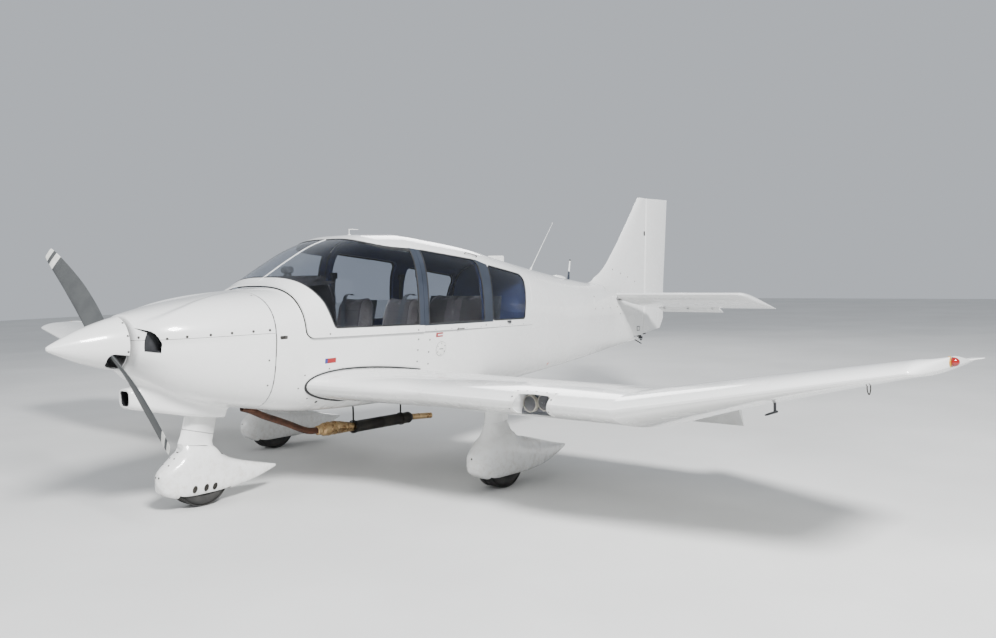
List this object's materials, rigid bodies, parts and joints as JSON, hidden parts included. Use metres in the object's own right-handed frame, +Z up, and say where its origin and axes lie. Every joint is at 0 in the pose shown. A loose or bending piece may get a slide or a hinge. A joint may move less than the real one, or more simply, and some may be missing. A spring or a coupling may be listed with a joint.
{
  "type": "light aircraft",
  "caption": "Low-wing light aircraft with cranked wing, sliding canopy over its cabin, fixed-pitch propeller, all-moving tailplane and faired fixed landing gear, parked with flaps down.",
  "frame": {"origin": "on the ground under the middle of the aircraft's length and span", "axes": "+Z up, -Y towards the nose, +X towards the aircraft's left wing"},
  "size_m": [8.62, 6.96, 2.23],
  "materials": {
    "white_skin": "gloss",
    "white_moulding": "gloss",
    "window_glass": "polished",
    "steel": "satin",
    "engine_metal": "matte",
    "leg_metal": "gloss",
    "wheel_metal": "satin",
    "propeller_grey": "satin",
    "tyre": "matte",
    "exhaust_metal": "satin",
    "dark_metal": "satin",
    "dark_trim": "matte",
    "cabin_lining": "matte",
    "seat_cloth": "matte"
  },
  "bodies": {
    "airframe": {"cabin_tub": "white_skin", "fuselage_tail": "white_skin", "cabin_roof": "white_skin", "mid_window_left": "window_glass", "mid_window_right": "window_glass", "rear_window_left": "window_glass", "rear_window_right": "window_glass", "upper_cowling": "white_moulding", "lower_cowling": "white_moulding", "firewall": "steel", "engine_block": "engine_metal", "inner_wing_left": "white_skin", "inner_wing_right": "white_skin", "outer_wing_left": "white_skin", "outer_wing_right": "white_skin", "fin": "white_skin", "main_leg_left": "leg_metal", "main_leg_right": "leg_metal", "main_wheel_fairing_left": "white_moulding", "main_wheel_fairing_right": "white_moulding", "nose_leg": "leg_metal", "exhaust": "exhaust_metal", "tow_hook": "dark_metal", "instrument_hood": "dark_trim", "instrument_panel": "dark_trim", "front_seat_left": "seat_cloth", "front_seat_right": "seat_cloth", "rear_seat": "seat_cloth", "control_sticks": "dark_metal", "rear_bulkhead": "cabin_lining"},
    "propeller": {"spinner": "white_moulding", "propeller": "propeller_grey"},
    "canopy": {"canopy_frame": "white_moulding", "canopy_glass": "window_glass"},
    "nose_gear": {"nose_fork": "leg_metal", "nose_wheel_fairing": "white_moulding"},
    "nose_wheel": {"nose_wheel": "wheel_metal", "nose_tyre": "tyre"},
    "main_wheel_left": {"main_wheel_left": "wheel_metal", "main_tyre_left": "tyre"},
    "main_wheel_right": {"main_wheel_right": "wheel_metal", "main_tyre_right": "tyre"},
    "aileron_left": {"aileron_left": "white_skin"},
    "aileron_right": {"aileron_right": "white_skin"},
    "flap_left": {"flap_left": "white_skin"},
    "flap_right": {"flap_right": "white_skin"},
    "rudder": {"rudder": "white_skin"},
    "stabilator": {"stabilator": "white_skin"},
    "anti_tab": {"anti_tab_left": "white_skin", "anti_tab_right": "white_skin"}
  },
  "joints": [
    {"name": "propeller_spin", "type": "hinge", "parent": "airframe", "child": "propeller", "pos_m": [0, -3.13, 1.098], "axis": [0, 1, 0], "continuous": true},
    {"name": "canopy_slide", "type": "slide", "parent": "airframe", "child": "canopy", "axis": [0, -1, 0], "range_m": [0, 0.7]},
    {"name": "nose_steer", "type": "hinge", "parent": "airframe", "child": "nose_gear", "pos_m": [0, -2.5, 0.57], "axis": [0, 0.2672, 0.9636], "range_deg": [-20, 20]},
    {"name": "nose_wheel_spin", "type": "hinge", "parent": "nose_gear", "child": "nose_wheel", "pos_m": [0, -2.53, 0.19], "axis": [1, 0, 0], "continuous": true},
    {"name": "main_wheel_left_spin", "type": "hinge", "parent": "airframe", "child": "main_wheel_left", "pos_m": [1.29, -1, 0.19], "axis": [1, 0, 0], "continuous": true},
    {"name": "main_wheel_right_spin", "type": "hinge", "parent": "airframe", "child": "main_wheel_right", "pos_m": [-1.29, -1, 0.19], "axis": [1, 0, 0], "continuous": true},
    {"name": "aileron_left_turn", "type": "hinge", "parent": "airframe", "child": "aileron_left", "pos_m": [2.8, -0.49071, 0.639], "axis": [0.9196, -0.3183, 0.2304], "range_deg": [-11.5, 11.5]},
    {"name": "aileron_right_turn", "type": "hinge", "parent": "airframe", "child": "aileron_right", "pos_m": [-2.8, -0.49071, 0.639], "axis": [0.9196, 0.3183, -0.2304], "range_deg": [-11.5, 11.5]},
    {"name": "flap_left_turn", "type": "hinge", "parent": "airframe", "child": "flap_left", "pos_m": [0.62, -0.22704, 0.58533], "axis": [1, 0, 0.0019], "range_deg": [0, 60]},
    {"name": "flap_right_turn", "type": "hinge", "parent": "airframe", "child": "flap_right", "pos_m": [-0.62, -0.22704, 0.58533], "axis": [1, 0, -0.0019], "range_deg": [0, 60]},
    {"name": "rudder_turn", "type": "hinge", "parent": "airframe", "child": "rudder", "pos_m": [0, 2.935, 0.74], "axis": [0, 0.077, 0.997], "range_deg": [-25, 25]},
    {"name": "stabilator_turn", "type": "hinge", "parent": "airframe", "child": "stabilator", "pos_m": [0, 2.42, 1.16], "axis": [1, 0, 0], "range_deg": [0, 18]},
    {"name": "anti_tab_turn", "type": "hinge", "parent": "stabilator", "child": "anti_tab", "pos_m": [0, 2.9222, 1.0413], "axis": [1, 0, 0], "range_deg": [0, 18]}
  ],
  "couplings": [
    {"joint": "aileron_right_turn", "follows": "aileron_left_turn", "ratio": -1},
    {"joint": "flap_right_turn", "follows": "flap_left_turn", "ratio": 1},
    {"joint": "anti_tab_turn", "follows": "stabilator_turn", "ratio": 1}
  ]
}
